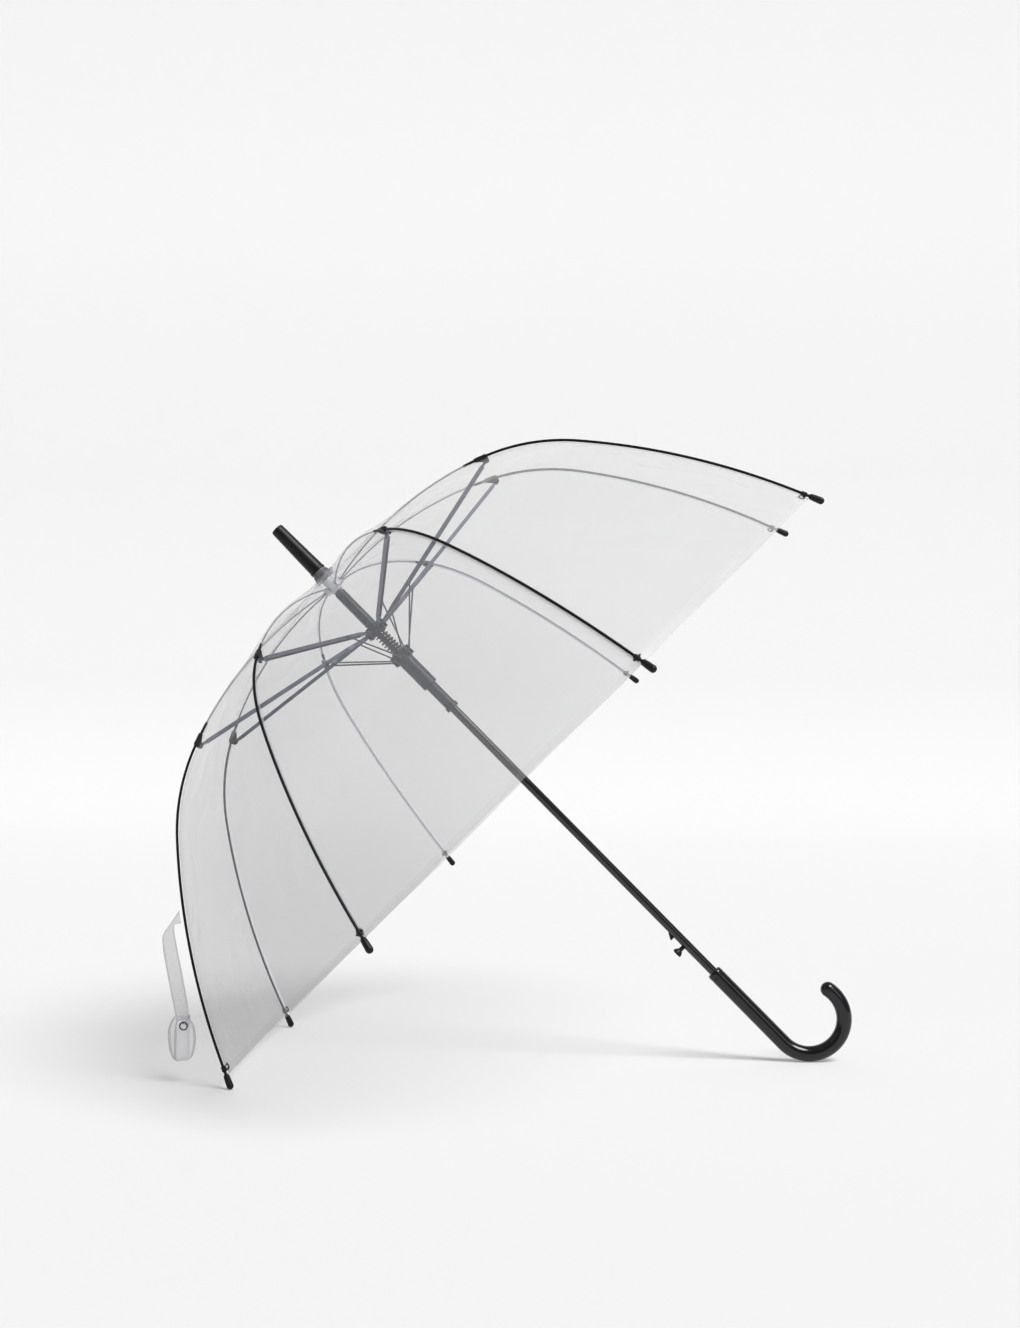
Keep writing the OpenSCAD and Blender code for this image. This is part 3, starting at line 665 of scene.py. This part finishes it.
def handle_shape():
    path, radii = [], []
    for down, r in COLLAR:
        path.append((0, 0, -HANDLE_TOP - down))
        radii.append(r)
    for z in np.linspace(-HANDLE_TOP - 14, -HANDLE_TOP - GRIP_LEN + 4, 10):
        path.append((0, 0, z))
        radii.append(GRIP_R - 0.05)
    for a in np.radians(np.linspace(0, HOOK_TURN, 56)):
        path.append(tuple(hook_mid + HOOK_R * np.array([-math.cos(a), 0, -math.sin(a)])))
        radii.append(GRIP_R - 0.05)
    end, a = np.array(path[-1]), math.radians(HOOK_TURN)
    direction = np.array([math.sin(a), 0, -math.cos(a)])
    for t in np.linspace(0.12, 1.5, 10):
        path.append(tuple(end + direction * GRIP_R * math.sin(t)))
        radii.append(max(GRIP_R * math.cos(t), 0.3))
    shape = Shape()
    shape.add(rod(path, radii, 36, normal=(0, 1, 0)))
    return shape, end, direction


handle, hook_end, hook_dir = handle_shape()
# A small moulded eye near the end of the hook
for side in (-1, 1):
    eye_at = hook_end + hook_dir * 0.5 + np.array([0, side * (GRIP_R - 0.3), 0])
    handle.add(torus(eye_at, 2.1, 0.6, (0, 1, 0), 20, 8))
make("crook_handle", handle, [HANDLE_BLACK], "frame", ["handle"])

# ---- Opening spring between the two runners, which shortens on the real umbrella; this mesh keeps one length
HUB_Z = -76.205
SPRING_TOP, SPRING_LOW = HUB_Z - 6.8, -159.0
SPRING_R, SPRING_WIRE, SPRING_TURNS, TURN_STEPS = 7.25, 0.9, 18, 20
spring = Shape()
coil = []
for i in range(SPRING_TURNS * TURN_STEPS + 1):
    t = i / TURN_STEPS
    share = t / SPRING_TURNS
    z = SPRING_TOP + (SPRING_LOW - SPRING_TOP) * (share + 0.012 * math.sin(2 * math.pi * share))
    a = 2 * math.pi * t
    coil.append((SPRING_R * math.cos(a), SPRING_R * math.sin(a), z))
spring.add(rod(coil, SPRING_WIRE, 8, normal=(0, 0, 1)))
spring_piece = make("coil_spring", spring, [SPRING_STEEL], "upper_runner", ["opening_spring"],
                    angle=60)
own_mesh(spring_piece)

# ---- Tie strap and its snap, placed by the CAD node's box
lo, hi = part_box("tie_strap")
STRAP_OUT = 17.4
STRAP_WIDE, STRAP_THICK = 0.0234, 0.0004
root = np.array([lo.x + STRAP_OUT / 1000, 0, hi.z])
strap_y = hi.y - 0.0008


def strap_place(x, y, z):
    return (root[0] + x / 1000, strap_y + y / 1000, root[2] + z / 1000)


def row_piece(name, points, faces, materials, body, nodes=(), slots=None, angle=35):
    """A piece from points that are in the row frame already, in m."""
    mesh = bpy.data.meshes.new(name)
    mesh.from_pydata([tuple(p) for p in points], [], faces)
    for m in materials:
        mesh.materials.append(m)
    if slots:
        mesh.polygons.foreach_set("material_index", slots)
    return place_piece(name, mesh, body, nodes, angle)


# The band's two edges, as (x, z) in mm from its root
BAND_LEFT = [(0.6, 1.5), (-8.0, -11.2), (-14.6, -20.6), (-17.2, -27.5), (-16.6, -38), (-14.6, -52),
             (-9.4, -79), (-4.2, -104), (-2.6, -116)]
BAND_RIGHT = [(2.6, -12.4), (-1.6, -12.8), (-4.4, -14.0), (-4.6, -19.5), (-2.8, -31), (0.4, -47),
              (6.0, -75), (10.6, -101), (12.0, -115)]
# The loop at the band's end, as rows of (middle x, y, z, half width): down behind, round and up in front
LOOP_ROWS = [(4.0, -0.3, -110, 8.6), (2.2, -0.2, -116, 10.6), (0.6, 0.1, -124, 11.6),
             (0.4, 0.3, -134, 11.6), (1.2, 0.0, -144, 11.0), (2.4, -1.0, -151, 9.9),
             (3.6, -2.4, -155.2, 7.6), (5.0, -4.2, -157.0, 4.4), (6.4, -6.0, -155.2, 7.8),
             (7.6, -7.4, -151, 10.1), (8.6, -8.0, -144, 11.2), (9.2, -8.0, -134, 11.7),
             (8.6, -7.6, -124, 11.2), (7.6, -7.4, -116.5, 9.2), (7.2, -7.4, -113.4, 6.4)]
ACROSS, BAND_STEPS, LOOP_STEPS = 8, 60, 72


def strap_rows():
    """The strap's band and its loop, each as rows of points across it, in mm from its root."""
    rows = []
    left, right = (np.array(smooth([(x, 0, z) for x, z in edge], BAND_STEPS + 1))
                   for edge in (BAND_LEFT, BAND_RIGHT))
    for i, (a, b) in enumerate(zip(left, right)):
        bow = 1.1 * math.sin(math.pi * i / BAND_STEPS)
        rows.append([a + (b - a) * c / ACROSS + (0, -bow - 0.5 * math.sin(math.pi * c / ACROSS), 0)
                     for c in range(ACROSS + 1)])
    mid = np.array(smooth([r[:3] for r in LOOP_ROWS], LOOP_STEPS + 1))
    half = np.interp(np.linspace(0, 1, LOOP_STEPS + 1), np.linspace(0, 1, len(LOOP_ROWS)),
                     [r[3] for r in LOOP_ROWS])
    loop = []
    for p, w in zip(mid, half):
        tilt = 0.12 * w
        loop.append([p + (w * u, -0.4 * (1 - u * u), tilt * u) for u in np.linspace(-1, 1, ACROSS + 1)])
    return rows, loop


def strap_sheet():
    points, faces, slots = [], [], []
    # The loop's rows take the third material: the band's film painted paler, as painted light.
    for middle, rows in zip((0, 2), strap_rows()):
        start, n = len(points), ACROSS + 1
        points += [strap_place(*q) for row in rows for q in row]
        for j in range(len(rows) - 1):
            for i in range(ACROSS):
                a = start + j * n + i
                faces.append((a, a + 1, a + n + 1, a + n))
                slots.append(1 if i in (0, ACROSS - 1) else middle)
    return points, faces, slots


points, faces, slots = strap_sheet()
strap = row_piece("tie_band", points, faces, [STRAP_FILM, STRAP_EDGE, STRAP_LOOP_PAINTED_LIGHTER],
                  f"lower_rib_{STRAP_RIB}", ["tie_strap"], slots, 60)
solid = strap.modifiers.new("thickness", "SOLIDIFY")
solid.thickness = STRAP_THICK
solid.offset = 0

snap_lo, snap_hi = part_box("strap_snap")
snap_mid = (np.array(snap_lo) + np.array(snap_hi)) / 2
snap_y = snap_lo.y
SNAP_PROFILE = [(0.02, 0.1), (2.6, 0.0), (3.1, 0.35), (3.4, 0.5), (3.9, 0.1), (4.5, 0.15), (4.8, 0.8),
                (4.7, 1.6), (4.0, 2.2), (1.6, 2.4), (1.5, 8.2), (4.2, 8.4), (4.6, 9.2), (4.3, 9.9),
                (0.02, 10.0)]
SNAP_SIDES, CAP_RINGS = 32, 7
points, faces = lathe(rounded(SNAP_PROFILE, 0.25), SNAP_SIDES)
snap_points = [(snap_mid[0] + p[0] / 1000, snap_y + p[2] / 1000, snap_mid[2] + p[1] / 1000) for p in points]
side_faces = len(points) - SNAP_SIDES
snap_slots = [1 if i // SNAP_SIDES < CAP_RINGS else 0 for i in range(side_faces)] + [1, 0]
row_piece("press_stud", snap_points, faces, [BLACK, CHROME], f"lower_rib_{STRAP_RIB}", ["strap_snap"],
          snap_slots)

# ---- Floor, backdrop, light and camera


def stage_material(name, shade, glow):
    """Pale matt paper. Its glow, given by how far it faces up, evens out what the lights give it."""
    m = Nodes(name).set(Roughness=0.9, Specular_IOR_Level=0.1, Base_Color=(shade, shade, shade, 1))
    m.shader.inputs["Emission Color"].default_value = (1, 1, 1, 1)
    geometry = m.tree.nodes.new("ShaderNodeNewGeometry")
    parts = m.tree.nodes.new("ShaderNodeSeparateXYZ")
    m.tree.links.new(geometry.outputs["Normal"], parts.inputs["Vector"])
    m.link(m.ramp(parts.outputs["Z"], [(at, (g, g, g)) for at, g in glow]), "Emission Strength")
    return m.material


STAGE_GLOW = [(0.0, 0.413), (0.25, 0.303), (0.5, 0.21), (0.83, 0.137), (1.0, 0.18)]


def backdrop():
    """A pale floor that curves up into a wall far behind the object."""
    profile = [(-6.0, 0.0), (4.0, 0.0)]
    profile += [(4.0 + 3 * math.sin(a), 3 - 3 * math.cos(a)) for a in np.linspace(0.1, math.pi / 2, 16)]
    profile.append((7.0, 9.0))
    points = [(x, y, z - 0.0002) for y, z in profile for x in (-14, 14)]
    faces = [(2 * i, 2 * i + 1, 2 * i + 3, 2 * i + 2) for i in range(len(profile) - 1)]
    mesh = bpy.data.meshes.new("floor")
    mesh.from_pydata(points, [], faces)
    mesh.polygons.foreach_set("use_smooth", [True] * len(faces))
    floor = bpy.data.objects.new("floor", mesh)
    mesh.materials.append(stage_material("pale_floor", 0.62, STAGE_GLOW))
    bpy.context.scene.collection.objects.link(floor)


def softbox(name, at, target, size, power):
    light = bpy.data.lights.new(name, "AREA")
    light.shape = "RECTANGLE"
    light.size, light.size_y = size
    light.energy = power
    o = bpy.data.objects.new(name, light)
    o.location = at
    o.rotation_euler = (Vector(target) - Vector(at)).to_track_quat("-Z", "Y").to_euler()
    bpy.context.scene.collection.objects.link(o)


backdrop()
middle = (0.0, 0.0, 0.35)
softbox("left_light", (-2.4, -1.2, 1.6), middle, (0.5, 1.6), 5)
softbox("right_light", (2.2, -1.8, 1.4), middle, (0.5, 1.4), 5)
SUN_FROM, SUN_ENERGY, SUN_ANGLE = (0.55, -0.45, 1.0), 3.3, math.radians(30)
over = bpy.data.lights.new("over_light", "SUN")
over.energy, over.angle = SUN_ENERGY, SUN_ANGLE
over_light = bpy.data.objects.new("over_light", over)
over_light.rotation_euler = Vector(SUN_FROM).to_track_quat("Z", "Y").to_euler()
bpy.context.scene.collection.objects.link(over_light)

WORLD_STRENGTH = 0.16
world = bpy.data.worlds.new("studio")
world.use_nodes = True
world.node_tree.nodes["Background"].inputs["Color"].default_value = (1, 1, 1, 1)
world.node_tree.nodes["Background"].inputs["Strength"].default_value = WORLD_STRENGTH
bpy.context.scene.world = world
bpy.context.scene.view_settings.view_transform = "Standard"
bpy.context.scene.view_settings.look = "None"

LENS, SENSOR = 48.1, 36
EYE_FROM_CROWN = (0.3164, -2.0179, -0.138)
AZIMUTH, PITCH = math.radians(3.09), math.radians(1.25)
camera = bpy.data.cameras.new("camera")
camera.lens = LENS
camera.sensor_width = SENSOR
camera.clip_start, camera.clip_end = 0.05, 60
eye = bpy.data.objects.new("camera", camera)
eye.location = Vector(CROWN) + Vector(EYE_FROM_CROWN)
eye.rotation_euler = (math.pi / 2 + PITCH, 0, AZIMUTH)
bpy.context.scene.collection.objects.link(eye)
bpy.context.scene.camera = eye

bpy.context.view_layer.update()
